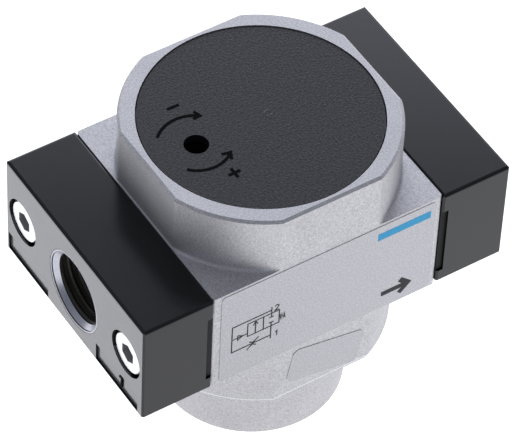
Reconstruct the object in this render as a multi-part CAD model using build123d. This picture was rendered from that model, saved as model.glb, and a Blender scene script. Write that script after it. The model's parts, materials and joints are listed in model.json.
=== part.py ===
from build123d import *
import math
import os

# Pneumatic switch-on valve. Millimetres, +Z up, +X from the inlet to the outlet, +Y to
# the back. The origin is the centre of the flat base of the bottom cap.

# Heights of the housing, from the base up
BOTTOM_CAP_H = 15.5          # height of the round bottom cap that shows
LOBE_H = 10.25               # round lower end of the housing
BOX_H = 19.65                # square middle of the housing
CAP_H = 10.5                 # round cap of the housing above the middle
LOBE_Z = BOTTOM_CAP_H
BOX_Z = LOBE_Z + LOBE_H
CAP_Z = BOX_Z + BOX_H
TOP_Z = CAP_Z + CAP_H

# Outside of the housing
BLOCK_W = 40.0               # width between the two connecting plates
FLAT_Y = 19.4                # centre to the front and back faces
CAP_FLAT_X = 19.75           # centre to the side flats of the cap
TURNED_R = 21.2              # round corners of cap and lobe
RIM_CHAMFER = 0.4            # broken edge all round the top of the cap
BLOCK_EDGE_R = 0.6           # rounded upright edges of the middle
ROOT_FILLET = 0.5            # fillet between cap wall and the top of the middle
EDGE_BREAK = 0.3

# Connecting plates
PLATE_T = 12.0
PLATE_PROUD = 0.3            # plates stand proud of the front and back faces
PLATE_HALF_D = FLAT_Y + PLATE_PROUD
PLATE_H = 19.2
PLATE_EDGE = 0.3
PLATE_TOP_R = 0.5            # rounded edges of the top face of a plate
PLATE_Z = CAP_Z - PLATE_H    # the plates end level with the top of the middle
PORT_DROP = 10.15            # port axis below the top of the plates
PORT_Z = CAP_Z - PORT_DROP
PORT_THREAD_R = 6.58         # G 1/4 major radius
PORT_THREAD_L = 9.5
PORT_CHAMFER = 0.25
DUCT_R = 4.5

# Pockets cast into the outer face of each plate, and the grooves beside the housing
POCKET_DEPTH = 0.35
POCKET_DROP = 15.3           # top of the pockets below the top of the plate
POCKET_H = 3.5
POCKET_RIM = 0.6             # wall left between the long pocket and the back
POCKET_SHORT = 11.8
POCKET_LONG_END = 7.4        # inner end of the long pocket, under the back screw
POCKET_SHORT_END = 6.5       # inner end of the short pocket, under the front screw
GRIP_W = 1.1
GRIP_DEPTH = 0.4
GRIP_H = 13.3
GRIP_DROP = 3.5

# Plate screws, M4 socket cap
SCREW_R = 2.0
SCREW_HEAD_R = 3.5
SCREW_HEAD_H = 4.0
SCREW_SINK = 0.3
SCREW_HEX = 3.0
SCREW_HEX_DEPTH = 2.2
SCREW_CHAMFER = 0.25
SCREW_HALF_SPAN = 14.9
SCREW_RISE = 0.9             # screws above the port axis
SCREW_IN_HOUSING = 8.0
COUNTERBORE_R = 3.9
CLEARANCE_HOLE_R = 2.25
SCREW_Z = PORT_Z + SCREW_RISE

# Top cover, lid and piston chamber
COVER_R = 18.35
COVER_T = 1.5
COVER_GAP = 0.2              # open groove round the cover
COVER_SINK = 0.15            # cover face below the rim
COVER_SPIGOT_R = 2.0
COVER_SPIGOT_L = 1.6
ADJUSTER_X = -11.2
ADJUSTER_HOLE_R = 1.9
SNAP_T = 1.0
SNAP_IN_R = 15.6
SNAP_OUT_R = 17.8
SNAP_GAP_DEG = 26.0
LID_R = 17.0
LID_T = 4.8
GASKET_T = 0.4
PISTON_BORE_R = 14.5
PISTON_T = 3.5
PISTON_REST_GAP = 0.4        # piston below the gasket when the valve is closed
STROKE = 2.5
STROKE_STOP = 0.2            # room left below the piston at full stroke

COVER_Z = TOP_Z - COVER_SINK - COVER_T
SNAP_Z = COVER_Z - 0.2 - SNAP_T
LID_Z = SNAP_Z - LID_T
LEDGE_Z = LID_Z - GASKET_T
PISTON_Z = LEDGE_Z - PISTON_REST_GAP - PISTON_T
FLOOR_Z = PISTON_Z - STROKE - STROKE_STOP

# Running fits and seats
RUN_FIT = 0.05
SEAT_GAP = 0.02

# Stem, piston hub and guide
STEM_R = 2.5
STEM_TAIL_R = 2.0
NUT_FLATS = 7.0
NUT_H = 1.6
PISTON_RECESS_R = 9.0
PISTON_RECESS_H = 1.7
PISTON_UNDER_RECESS = 0.8
GUIDE_R = 5.0
GUIDE_H = 1.3
STEM_SEAL_WIRE = 1.5
GUIDE_SHOULDER = 1.2
GUIDE_SHOULDER_R = 3.2
GUIDE_BOSS_Z = FLOOR_Z - GUIDE_H - STEM_SEAL_WIRE - GUIDE_SHOULDER

# Main seat and poppet
CHAMBER_R = 13.05            # bore for the bottom cap and the inlet chamber
CHAMBER_TOP_Z = 25.0
SEAT_R = 5.5
SEAT_LIP_W = 1.2
SEAT_LIP_H = 0.8
OUTLET_CHAMBER_R = 7.0
OUTLET_CHAMBER_Z = 28.0
SEAT_Z = CHAMBER_TOP_Z - SEAT_LIP_H
POPPET_R = 9.4
POPPET_T = 3.1
POPPET_HUB_R = 4.5
POPPET_RIM_W = 0.8
POPPET_RIM_DROP = 0.6
RUBBER_T = 1.4
RUBBER_GAP = 0.1
SHOULDER_Z = SEAT_Z - 0.2

# Inlet duct that drops past the outlet chamber to the inlet chamber
DROP_DUCT_X = -14.0
DROP_DUCT_R = 3.8
DROP_DUCT_LOW = 20.4

# Small passages from the inlet to the throttle and on to the outlet
PASSAGE_X = 15.8
PASSAGE_R = 0.75
GALLERY_R = 0.5
GALLERY_RISE = 1.3
SLOT_W = 1.5
SLOT_H = 0.7
VENT_R = 0.75
VENT_RISE = 1.1              # vent axis above the floor of the piston bore
VENT_OVERRUN = 2.0           # the vent drill runs out at both ends

# Throttle screw
THROTTLE_R = 2.5
THROTTLE_PITCH = 0.5
THROTTLE_SEAT_R = 0.7
THROTTLE_SEAT_L = 1.0
THROTTLE_TOP_SINK = 0.5      # screw below the lid's top when closed
THROTTLE_BODY_L = 2.6
THROTTLE_NEEDLE_R = 1.0
THROTTLE_TIP_R = 0.35
THROTTLE_HEX = 2.0
THROTTLE_HEX_DEPTH = 1.1
THROTTLE_GROOVE_R = 1.6
THROTTLE_WIRE = 0.8
THROTTLE_GROOVE_RISE = 0.2
THROTTLE_TOP = LID_Z + LID_T - THROTTLE_TOP_SINK
THROTTLE_LOW = THROTTLE_TOP - THROTTLE_BODY_L

# Bottom cap, spring and guide
BOTTOM_R = 14.9
NECK_R = 13.0
NECK_H = 4.6
BOTTOM_FLOOR = 3.0
BOTTOM_BORE_R = 10.4
BOTTOM_CHAMFER = 0.4
TAIL_BOSS_R = 4.0
TAIL_BOSS_TOP = 12.0
TAIL_BORE_Z = 2.2
TAIL_END_Z = 5.4
SPANNER_R = 1.5
SPANNER_X = 9.5
SPANNER_DEPTH = 2.0
SPRING_WIRE = 1.3
SPRING_MEAN_R = 5.6
SPRING_TURNS = 5.5

# Seals, as the wire diameter of each ring
PORT_SEAL_R = 7.4
PORT_SEAL_WIRE = 1.3
LID_SEAL_WIRE = 1.4
PISTON_SEAL_WIRE = 1.4
BOTTOM_SEAL_WIRE = 1.2
GROOVE_SIDE = 0.1            # room beside a ring in its groove
SECTION_SIDES = 8            # sides drawn for the round wire of rings and spring

# Labels
LABEL_T = 0.08
LABEL_LEFT = 1.4 - BLOCK_W / 2
LABEL_RIGHT = BLOCK_W / 2 - 1.1
LABEL_TOP_DROP = 0.5
LABEL_BOTTOM_RISE = 0.3
LABEL_CORNER = 0.8
NUMBER_W = 13.0
NUMBER_H = 6.8
NUMBER_X = 0.5
NUMBER_DROP = LOBE_H / 2     # its middle below the square middle of the housing
NUMBER_TILT_DEG = 11.0       # stuck on by hand, a little crooked
NUMBER_CORNER = 1.2


def cylinder(radius, low, high, x=0.0, y=0.0):
    """Upright round bar or bore from height low to height high."""
    bar = Cylinder(radius, high - low, align=(Align.CENTER, Align.CENTER, Align.MIN))
    return Pos(x, y, low) * bar


def lying_cylinder(radius, x_from, x_to, y, z):
    """Round bar or bore along X."""
    length = abs(x_to - x_from)
    return Pos((x_from + x_to) / 2, y, z) * Rot(0, 90, 0) * Cylinder(radius, length)


def block(x_from, x_to, y_from, y_to, z_from, z_to):
    """Square block between three pairs of planes."""
    middle = Pos((x_from + x_to) / 2, (y_from + y_to) / 2, (z_from + z_to) / 2)
    return middle * Box(abs(x_to - x_from), abs(y_to - y_from), abs(z_to - z_from))


def turned(points):
    """Solid turned about Z from the half section that the points (radius, height) give."""
    outline = Polyline([(r, 0, z) for r, z in points], close=True)
    return revolve(make_face(outline), Axis.Z)


def ring(mean_r, wire, z):
    """Sealing ring lying flat, its round section drawn with eight sides."""
    section = RegularPolygon(wire / 2, SECTION_SIDES, major_radius=False, rotation=22.5)
    return revolve(Plane.XZ * Pos(mean_r, z) * section, Axis.Z)


def tube(outer, inner, low, high):
    """Plain ring with a square section."""
    return cylinder(outer, low, high) - cylinder(inner, low, high)


def housing_outside():
    """Outer form of the casting: cap, square middle and round lower end."""
    flats = block(-CAP_FLAT_X, CAP_FLAT_X, -FLAT_Y, FLAT_Y, 0, TOP_Z)
    wall_low = CAP_Z - 1.0
    foot_r = TURNED_R + ROOT_FILLET
    cap = turned([
        (0, wall_low), (foot_r, wall_low), (foot_r, CAP_Z), (TURNED_R, CAP_Z + ROOT_FILLET),
        (TURNED_R, TOP_Z), (0, TOP_Z),
    ])
    hollow = Pos(0, 0, CAP_Z + ROOT_FILLET) * Torus(foot_r, ROOT_FILLET)
    cap = (cap - hollow) & flats
    cap = chamfer(cap.edges().group_by(Axis.Z)[-1], RIM_CHAMFER)
    middle = block(-BLOCK_W / 2, BLOCK_W / 2, -FLAT_Y, FLAT_Y, BOX_Z, CAP_Z)
    middle = fillet(middle.edges().filter_by(Axis.Z), BLOCK_EDGE_R)
    lobe = turned([
        (0, LOBE_Z), (TURNED_R - EDGE_BREAK, LOBE_Z), (TURNED_R, LOBE_Z + EDGE_BREAK),
        (TURNED_R, BOX_Z + 1.0), (0, BOX_Z + 1.0),
    ])
    sides = block(-TURNED_R, TURNED_R, -FLAT_Y, FLAT_Y, 0, TOP_Z)
    lower = lobe & sides
    keep_clear = block(BLOCK_W / 2, BLOCK_W, -BLOCK_W, BLOCK_W, PLATE_Z - 0.3, TOP_Z)
    lower = lower - keep_clear - mirror(keep_clear, Plane.YZ)
    return cap + middle + lower


def housing():
    """The casting with its bores, ducts, seat, ring groove and tapped holes."""
    body = housing_outside()
    side = BLOCK_W / 2
    cuts = [
        cylinder(COVER_R + COVER_GAP, SNAP_Z + SNAP_T, TOP_Z + 1),
        cylinder(LID_R + RUN_FIT, LEDGE_Z, TOP_Z + 1),
        cylinder(SNAP_OUT_R + RUN_FIT, SNAP_Z, SNAP_Z + SNAP_T),
        cylinder(PISTON_BORE_R, FLOOR_Z, TOP_Z),
        cylinder(GUIDE_R, GUIDE_BOSS_Z + GUIDE_SHOULDER, FLOOR_Z + 1),
        cylinder(GUIDE_SHOULDER_R, GUIDE_BOSS_Z - 1, FLOOR_Z),
        cylinder(OUTLET_CHAMBER_R, OUTLET_CHAMBER_Z, GUIDE_BOSS_Z),
        cylinder(SEAT_R, SEAT_Z - 1, OUTLET_CHAMBER_Z + 1),
        cylinder(CHAMBER_R, LOBE_Z - 1, CHAMBER_TOP_Z)
        - tube(SEAT_R + SEAT_LIP_W, SEAT_R, SEAT_Z, CHAMBER_TOP_Z),
        lying_cylinder(DUCT_R, -side - 1, DROP_DUCT_X + DROP_DUCT_R / 2, 0, PORT_Z),
        lying_cylinder(DUCT_R, GUIDE_R + 1.2, side + 1, 0, PORT_Z),
        cylinder(DROP_DUCT_R, DROP_DUCT_LOW, PORT_Z + 1, DROP_DUCT_X),
        cylinder(PASSAGE_R, PORT_Z, LEDGE_Z + 1, -PASSAGE_X),
        cylinder(PASSAGE_R, PORT_Z, LEDGE_Z + 1, PASSAGE_X),
        Pos(0, (PISTON_BORE_R + FLAT_Y) / 2, FLOOR_Z + VENT_RISE)
        * Rot(90, 0, 0) * Cylinder(VENT_R, FLAT_Y - PISTON_BORE_R + 2 * VENT_OVERRUN),
    ]
    for cut in cuts:
        body = body - cut
    for end in (-1, 1):
        for y in (-SCREW_HALF_SPAN, SCREW_HALF_SPAN):
            depth = side - SCREW_IN_HOUSING - 1.5
            body = body - lying_cylinder(SCREW_R + SEAT_GAP, end * depth, end * (side + 1), y, SCREW_Z)
    return body


def plate(end):
    """Connecting plate on the inlet side (end -1) or on the outlet side (end +1)."""
    inner = end * BLOCK_W / 2
    outer = inner + end * PLATE_T
    bar = block(inner, outer, -PLATE_HALF_D, PLATE_HALF_D, PLATE_Z, CAP_Z)
    top_edges = bar.edges().group_by(Axis.Z)[-1]
    body = chamfer(bar.edges() - top_edges, PLATE_EDGE) & fillet(top_edges, PLATE_TOP_R)
    thread_end = outer - end * PORT_THREAD_L
    body -= lying_cylinder(DUCT_R, inner - end, outer, 0, PORT_Z)
    body -= lying_cylinder(PORT_THREAD_R, thread_end, outer + end, 0, PORT_Z)
    mouth = Cone(PORT_THREAD_R, PORT_THREAD_R + PORT_CHAMFER, PORT_CHAMFER)
    body -= Pos(outer - end * PORT_CHAMFER / 2, 0, PORT_Z) * Rot(0, end * 90, 0) * mouth
    seal_groove = (
        lying_cylinder(PORT_SEAL_R + PORT_SEAL_WIRE / 2 + GROOVE_SIDE,
                       inner - end, inner + end * PORT_SEAL_WIRE, 0, PORT_Z)
        - lying_cylinder(PORT_SEAL_R - PORT_SEAL_WIRE / 2 - GROOVE_SIDE,
                         inner - end, inner + end * PORT_SEAL_WIRE, 0, PORT_Z)
    )
    body -= seal_groove
    head_depth = SCREW_HEAD_H + SCREW_SINK
    for y in (-SCREW_HALF_SPAN, SCREW_HALF_SPAN):
        body -= lying_cylinder(CLEARANCE_HOLE_R, inner - end, outer, y, SCREW_Z)
        body -= lying_cylinder(COUNTERBORE_R, outer - end * head_depth, outer + end, y, SCREW_Z)
    pocket_top = CAP_Z - POCKET_DROP
    floor_x = outer - end * POCKET_DEPTH
    body -= block(floor_x, outer + end, POCKET_LONG_END, PLATE_HALF_D - POCKET_RIM,
                  pocket_top - POCKET_H, pocket_top)
    body -= block(floor_x, outer + end, -POCKET_SHORT_END, -POCKET_SHORT_END - POCKET_SHORT,
                  pocket_top - POCKET_H, pocket_top)
    for y in (-PLATE_HALF_D, PLATE_HALF_D):
        cut_y = y - math.copysign(GRIP_DEPTH, y)
        body -= block(inner, inner + end * GRIP_W, cut_y, y * 1.1,
                      CAP_Z - GRIP_DROP - GRIP_H, CAP_Z - GRIP_DROP)
    return body


def plate_screws(end):
    """The two socket cap screws of one connecting plate, as separate solids."""
    outer = end * (BLOCK_W / 2 + PLATE_T)
    head_top = outer - end * SCREW_SINK
    length = PLATE_T - SCREW_SINK - SCREW_HEAD_H + SCREW_IN_HOUSING
    screw = cylinder(SCREW_HEAD_R, 0, SCREW_HEAD_H)
    screw = chamfer(screw.edges().sort_by(Axis.Z)[-1], SCREW_CHAMFER)
    screw += cylinder(SCREW_R, -length, 0)
    socket = extrude(RegularPolygon(SCREW_HEX / 2, 6, major_radius=False), SCREW_HEX_DEPTH + 1)
    screw -= Pos(0, 0, SCREW_HEAD_H - SCREW_HEX_DEPTH) * socket
    screws = []
    for y in (-SCREW_HALF_SPAN, SCREW_HALF_SPAN):
        place = Pos(head_top - end * SCREW_HEAD_H, y, SCREW_Z) * Rot(0, end * 90, 0)
        screws.append(place * screw)
    return Compound(children=screws)


def port_seal(end):
    """Sealing ring in the inner face of a connecting plate."""
    x = end * (BLOCK_W / 2 + PORT_SEAL_WIRE / 2)
    return Pos(x, 0, PORT_Z) * Rot(0, 90, 0) * ring(PORT_SEAL_R, PORT_SEAL_WIRE, 0)


def top_cover():
    """Plastic disc with a spigot below and the hole over the throttle screw."""
    disc = cylinder(COVER_R, COVER_Z, COVER_Z + COVER_T)
    disc += cylinder(COVER_SPIGOT_R, COVER_Z - COVER_SPIGOT_L, COVER_Z)
    return disc - cylinder(ADJUSTER_HOLE_R, COVER_Z - 1, TOP_Z, ADJUSTER_X)


def retaining_ring():
    """Open snap ring with two eared ends, lying in its groove."""
    washer = tube(SNAP_OUT_R, SNAP_IN_R, SNAP_Z, SNAP_Z + SNAP_T)
    half = math.radians(SNAP_GAP_DEG / 2)
    reach = SNAP_OUT_R * 1.5
    corners = [(0, 0), (reach, -reach * math.tan(half)), (reach, reach * math.tan(half))]
    wedge = Pos(0, 0, SNAP_Z - 1) * extrude(make_face(Polyline(corners, close=True)), SNAP_T + 2)
    washer -= wedge
    ear_r = 1.3
    for side in (-1, 1):
        turn = side * (half + ear_r / SNAP_IN_R)
        x = (SNAP_IN_R - 0.2) * math.cos(turn)
        y = (SNAP_IN_R - 0.2) * math.sin(turn)
        washer += cylinder(ear_r, SNAP_Z, SNAP_Z + SNAP_T, x, y)
        washer -= cylinder(ear_r / 2, SNAP_Z - 1, SNAP_Z + SNAP_T + 1, x, y)
    return washer


def chamber_lid():
    """Lid of the piston chamber with the throttle bore and its passages."""
    top = LID_Z + LID_T
    groove_z = LID_Z + LID_T / 2 + LID_SEAL_WIRE / 2
    lid = cylinder(LID_R, LID_Z, top)
    lid -= tube(LID_R + 1, LID_R - LID_SEAL_WIRE, groove_z - LID_SEAL_WIRE / 2 - GROOVE_SIDE,
                groove_z + LID_SEAL_WIRE / 2 + GROOVE_SIDE)
    lid -= cylinder(COVER_SPIGOT_R + SEAT_GAP, COVER_Z - COVER_SPIGOT_L - 0.3, top + 1)
    lid -= cylinder(THROTTLE_R, LID_Z + THROTTLE_SEAT_L, top + 1, ADJUSTER_X)
    lid -= cylinder(THROTTLE_SEAT_R, LID_Z - 1, top, ADJUSTER_X)
    gallery_z = LID_Z + GALLERY_RISE
    lid -= cylinder(PASSAGE_R, LID_Z - 1, gallery_z, -PASSAGE_X)
    lid -= lying_cylinder(GALLERY_R, -PASSAGE_X, ADJUSTER_X, 0, gallery_z)
    lid -= block(PISTON_BORE_R - 3, PASSAGE_X + PASSAGE_R, -SLOT_W / 2, SLOT_W / 2,
                 LID_Z - 1, LID_Z + SLOT_H)
    return lid


def lid_seal():
    """Sealing ring in the groove of the lid."""
    return ring(LID_R - LID_SEAL_WIRE / 2, LID_SEAL_WIRE, LID_Z + LID_T / 2 + LID_SEAL_WIRE / 2)


def lid_gasket():
    """Flat gasket between lid and ledge, with a hole at each passage."""
    gasket = tube(LID_R, PISTON_BORE_R, LEDGE_Z, LID_Z)
    for x in (-PASSAGE_X, PASSAGE_X):
        gasket -= cylinder(PASSAGE_R, LEDGE_Z - 1, LID_Z + 1, x)
    return gasket


def piston():
    """Piston with a seal groove, a recess for its nut and a hub bore."""
    top = PISTON_Z + PISTON_T
    body = cylinder(PISTON_BORE_R - RUN_FIT, PISTON_Z, top)
    body -= cylinder(PISTON_RECESS_R, top - PISTON_RECESS_H, top + 1)
    under = tube(PISTON_RECESS_R + 1.0, STEM_R + 2.5, PISTON_Z - 1, PISTON_Z + PISTON_UNDER_RECESS)
    body -= under
    body -= cylinder(STEM_TAIL_R + SEAT_GAP, PISTON_Z - 1, top)
    middle = PISTON_Z + PISTON_T / 2
    half = PISTON_SEAL_WIRE / 2 + GROOVE_SIDE
    body -= tube(PISTON_BORE_R + 1, PISTON_BORE_R - RUN_FIT - PISTON_SEAL_WIRE, middle - half, middle + half)
    return body


def piston_seal():
    """Sealing ring of the piston."""
    return ring(PISTON_BORE_R - RUN_FIT - PISTON_SEAL_WIRE / 2, PISTON_SEAL_WIRE, PISTON_Z + PISTON_T / 2)


def piston_nut():
    """Hexagon nut in the recess of the piston."""
    low = PISTON_Z + PISTON_T - PISTON_RECESS_H
    nut = Pos(0, 0, low) * extrude(RegularPolygon(NUT_FLATS / 2, 6, major_radius=False), NUT_H)
    return nut - cylinder(STEM_TAIL_R + SEAT_GAP, low - 1, low + NUT_H + 1)


def valve_stem():
    """Turned stem: upper thread for the nut, guide length, shoulder and lower guide."""
    top = PISTON_Z + PISTON_T - 0.05
    tip = 0.3
    return turned([
        (0, TAIL_END_Z), (STEM_TAIL_R - tip, TAIL_END_Z), (STEM_TAIL_R, TAIL_END_Z + tip),
        (STEM_TAIL_R, SHOULDER_Z), (STEM_R, SHOULDER_Z), (STEM_R, PISTON_Z),
        (STEM_TAIL_R, PISTON_Z), (STEM_TAIL_R, top - tip), (STEM_TAIL_R - tip, top), (0, top),
    ])


def stem_seal():
    """Sealing ring round the stem, below the guide bush."""
    mean = (STEM_R + RUN_FIT + GUIDE_R) / 2
    wire = GUIDE_R - STEM_R - 2 * RUN_FIT
    z = GUIDE_BOSS_Z + GUIDE_SHOULDER + STEM_SEAL_WIRE / 2
    section = min(wire, STEM_SEAL_WIRE)
    washer = tube(mean + wire / 2, STEM_R + RUN_FIT, z - section / 2, z + section / 2)
    return chamfer(washer.edges(), section * 0.3)


def guide_bush():
    """Bush that guides the stem and keeps the seal below it."""
    bush = tube(GUIDE_R - SEAT_GAP, STEM_R + RUN_FIT, FLOOR_Z - GUIDE_H, FLOOR_Z)
    return chamfer(bush.edges().sort_by(Axis.Z)[-2:], 0.15)


def poppet():
    """Main valve disc with the groove for its rubber ring."""
    low = SHOULDER_Z - POPPET_T
    floor = SEAT_Z - RUBBER_T
    rim = SHOULDER_Z - POPPET_RIM_DROP
    bore = STEM_TAIL_R + SEAT_GAP
    return turned([
        (bore, low), (POPPET_R - 0.6, low), (POPPET_R, low + 0.6), (POPPET_R, rim),
        (POPPET_R - POPPET_RIM_W, rim), (POPPET_R - POPPET_RIM_W, floor),
        (POPPET_HUB_R, floor), (POPPET_HUB_R, SHOULDER_Z), (bore, SHOULDER_Z),
    ])


def poppet_seal():
    """Rubber ring of the poppet, closed on the seat lip."""
    return tube(POPPET_R - POPPET_RIM_W - RUBBER_GAP, POPPET_HUB_R + RUBBER_GAP, SEAT_Z - RUBBER_T, SEAT_Z)


def return_spring():
    """Compression spring between the bottom cap and the poppet."""
    low = BOTTOM_FLOOR + SPRING_WIRE / 2 + SEAT_GAP
    high = SHOULDER_Z - POPPET_T - SPRING_WIRE / 2 - SEAT_GAP
    height = high - low
    path = Pos(0, 0, low) * Helix(height / SPRING_TURNS, height, SPRING_MEAN_R)
    start = path @ 0
    section = Plane(origin=start, z_dir=path % 0) * RegularPolygon(SPRING_WIRE / 2, SECTION_SIDES)
    coil = sweep(section, path=path, is_frenet=True)
    slab = block(-BOTTOM_R, BOTTOM_R, -BOTTOM_R, BOTTOM_R, BOTTOM_FLOOR, SHOULDER_Z - POPPET_T)
    return coil & slab


def bottom_cap():
    """Round cap screwed into the housing, with the lower stem guide."""
    neck_top = BOTTOM_CAP_H + NECK_H
    body = turned([
        (0, 0), (BOTTOM_R - BOTTOM_CHAMFER, 0), (BOTTOM_R, BOTTOM_CHAMFER),
        (BOTTOM_R, BOTTOM_CAP_H), (NECK_R, BOTTOM_CAP_H), (NECK_R, neck_top),
        (BOTTOM_BORE_R, neck_top), (BOTTOM_BORE_R, BOTTOM_FLOOR),
        (TAIL_BOSS_R, BOTTOM_FLOOR), (TAIL_BOSS_R, TAIL_BOSS_TOP), (0, TAIL_BOSS_TOP),
    ])
    body -= cylinder(STEM_TAIL_R + RUN_FIT, TAIL_BORE_Z, TAIL_BOSS_TOP + 1)
    groove_z = BOTTOM_CAP_H + NECK_H / 2
    half = BOTTOM_SEAL_WIRE / 2 + GROOVE_SIDE
    body -= tube(NECK_R + 1, NECK_R - BOTTOM_SEAL_WIRE, groove_z - half, groove_z + half)
    for x in (-SPANNER_X, SPANNER_X):
        body -= cylinder(SPANNER_R, -1, SPANNER_DEPTH, x)
    return body


def bottom_cap_seal():
    """Sealing ring of the bottom cap."""
    return ring(NECK_R - BOTTOM_SEAL_WIRE / 2, BOTTOM_SEAL_WIRE, BOTTOM_CAP_H + NECK_H / 2)


def throttle_screw():
    """Needle screw, shown closed: hexagon socket, ring groove and needle."""
    needle_low = LID_Z + 0.3
    fit = THROTTLE_R - RUN_FIT
    groove_low = THROTTLE_LOW + THROTTLE_GROOVE_RISE
    groove_top = groove_low + THROTTLE_WIRE + 2 * GROOVE_SIDE
    body = turned([
        (0, needle_low), (THROTTLE_TIP_R, needle_low),
        (THROTTLE_SEAT_R - RUN_FIT, LID_Z + THROTTLE_SEAT_L + 0.05),
        (THROTTLE_NEEDLE_R, THROTTLE_LOW), (fit, THROTTLE_LOW), (fit, groove_low),
        (THROTTLE_GROOVE_R, groove_low), (THROTTLE_GROOVE_R, groove_top), (fit, groove_top),
        (fit, THROTTLE_TOP), (0, THROTTLE_TOP),
    ])
    socket = extrude(RegularPolygon(THROTTLE_HEX / 2, 6, major_radius=False), THROTTLE_HEX_DEPTH + 1)
    body -= Pos(0, 0, THROTTLE_TOP - THROTTLE_HEX_DEPTH) * socket
    return Pos(ADJUSTER_X, 0, 0) * body


def throttle_seal():
    """Sealing ring of the needle screw."""
    mean = THROTTLE_R - RUN_FIT - THROTTLE_WIRE / 2
    z = THROTTLE_LOW + THROTTLE_GROOVE_RISE + GROOVE_SIDE + THROTTLE_WIRE / 2
    return Pos(ADJUSTER_X, 0, 0) * ring(mean, THROTTLE_WIRE, z)


def label(width, height, corner, x, z, tilt_deg=0.0):
    """Foil label with rounded corners on the front face, its middle at (x, z)."""
    sheet = Box(width, LABEL_T, height)
    sheet = fillet(sheet.edges().filter_by(Axis.Y), corner)
    return Pos(x, -FLAT_Y - LABEL_T / 2, z) * Rot(0, tilt_deg, 0) * sheet


def front_label():
    """Large label on the square middle of the housing."""
    low, high = BOX_Z + LABEL_BOTTOM_RISE, CAP_Z - LABEL_TOP_DROP
    middle_x, middle_z = (LABEL_LEFT + LABEL_RIGHT) / 2, (low + high) / 2
    return label(LABEL_RIGHT - LABEL_LEFT, high - low, LABEL_CORNER, middle_x, middle_z)


def number_label():
    """Small label on the flat of the lower end."""
    return label(NUMBER_W, NUMBER_H, NUMBER_CORNER, NUMBER_X, BOX_Z - NUMBER_DROP, NUMBER_TILT_DEG)


NODES = {
    "housing": housing,
    "inlet_plate": lambda: plate(-1),
    "outlet_plate": lambda: plate(1),
    "inlet_plate_screws": lambda: plate_screws(-1),
    "outlet_plate_screws": lambda: plate_screws(1),
    "inlet_seal_ring": lambda: port_seal(-1),
    "outlet_seal_ring": lambda: port_seal(1),
    "top_cover": top_cover,
    "retaining_ring": retaining_ring,
    "chamber_lid": chamber_lid,
    "lid_seal": lid_seal,
    "lid_gasket": lid_gasket,
    "piston": piston,
    "piston_seal": piston_seal,
    "piston_nut": piston_nut,
    "valve_stem": valve_stem,
    "stem_seal": stem_seal,
    "guide_bush": guide_bush,
    "poppet": poppet,
    "poppet_seal": poppet_seal,
    "return_spring": return_spring,
    "bottom_cap": bottom_cap,
    "bottom_cap_seal": bottom_cap_seal,
    "throttle_screw": throttle_screw,
    "throttle_seal": throttle_seal,
    "front_label": front_label,
    "number_label": number_label,
}


def main():
    os.makedirs("parts", exist_ok=True)
    for name, make in NODES.items():
        solid = make()
        solid.label = name
        export_step(solid, f"parts/{name}.step")
        print(name, round(solid.volume, 1))


main()
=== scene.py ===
# %% [markdown]
# # A switch-on valve, dressed and photographed
#
# The valve is a die-cast block between two black plates. Its solids are already made
# at real size, so this lesson adds what a camera sees: finishes, threads, moulded
# signs and print. Everything is in metres, in the frame of the solids: +X runs from
# the inlet to the outlet, +Y to the back and +Z up, from the flat base.

# %% Load the solids
import json
import math

import bpy
import numpy as np
from mathutils import Matrix, Vector


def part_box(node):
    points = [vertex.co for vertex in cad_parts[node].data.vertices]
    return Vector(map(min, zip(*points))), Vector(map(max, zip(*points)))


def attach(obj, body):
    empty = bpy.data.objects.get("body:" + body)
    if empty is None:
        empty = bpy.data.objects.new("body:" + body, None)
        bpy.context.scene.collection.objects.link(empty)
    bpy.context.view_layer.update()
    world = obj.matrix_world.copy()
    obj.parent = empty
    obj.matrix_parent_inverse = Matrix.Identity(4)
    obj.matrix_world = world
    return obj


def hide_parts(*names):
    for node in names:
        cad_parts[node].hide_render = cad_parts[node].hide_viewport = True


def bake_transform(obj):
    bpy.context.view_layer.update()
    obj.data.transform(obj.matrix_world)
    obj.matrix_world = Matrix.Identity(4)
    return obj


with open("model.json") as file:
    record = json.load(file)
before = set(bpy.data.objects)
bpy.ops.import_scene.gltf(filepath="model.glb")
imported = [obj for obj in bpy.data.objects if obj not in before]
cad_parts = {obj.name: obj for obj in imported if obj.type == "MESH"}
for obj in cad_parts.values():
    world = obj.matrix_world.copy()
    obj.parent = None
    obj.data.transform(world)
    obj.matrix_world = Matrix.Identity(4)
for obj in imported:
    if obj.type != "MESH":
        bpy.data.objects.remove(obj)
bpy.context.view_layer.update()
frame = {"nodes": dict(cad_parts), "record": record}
MM = 0.001

# %% [markdown]
# Colours are easiest to read as the hex values of a paint chart, but a shader adds up
# light, so it needs linear numbers. One function does the change for every material.


# %% Colours
def colour(hex_value):
    """Linear RGBA of an sRGB hex value such as "#c6c6ca"."""
    parts = [int(hex_value[i:i + 2], 16) / 255 for i in (1, 3, 5)]
    linear = [p / 12.92 if p <= 0.04045 else ((p + 0.055) / 1.055) ** 2.4 for p in parts]
    return (*linear, 1.0)


print("mid grey is", round(colour("#808080")[0], 3), "in linear light")

# %% [markdown]
# A material is a small graph. Every node is made by one helper that sets its options,
# fills its inputs and draws its links, so a graph reads from top to bottom.


# %% Node helper and material start
def add(tree, kind, inputs=None, **options):
    """One node; each input is a plain value or the output socket that feeds it."""
    made = tree.nodes.new(kind)
    for option, value in options.items():
        setattr(made, option, value)
    for key, value in (inputs or {}).items():
        if isinstance(value, bpy.types.NodeSocket):
            tree.links.new(value, made.inputs[key])
        else:
            made.inputs[key].default_value = value
    return made


def start_material(name):
    """An empty material, its tree and the Object coordinates that its patterns read."""
    material = bpy.data.materials.new(name)
    material.use_nodes = True
    tree = material.node_tree
    tree.nodes.clear()
    place = add(tree, "ShaderNodeTexCoord").outputs["Object"]
    return material, tree, place


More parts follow.
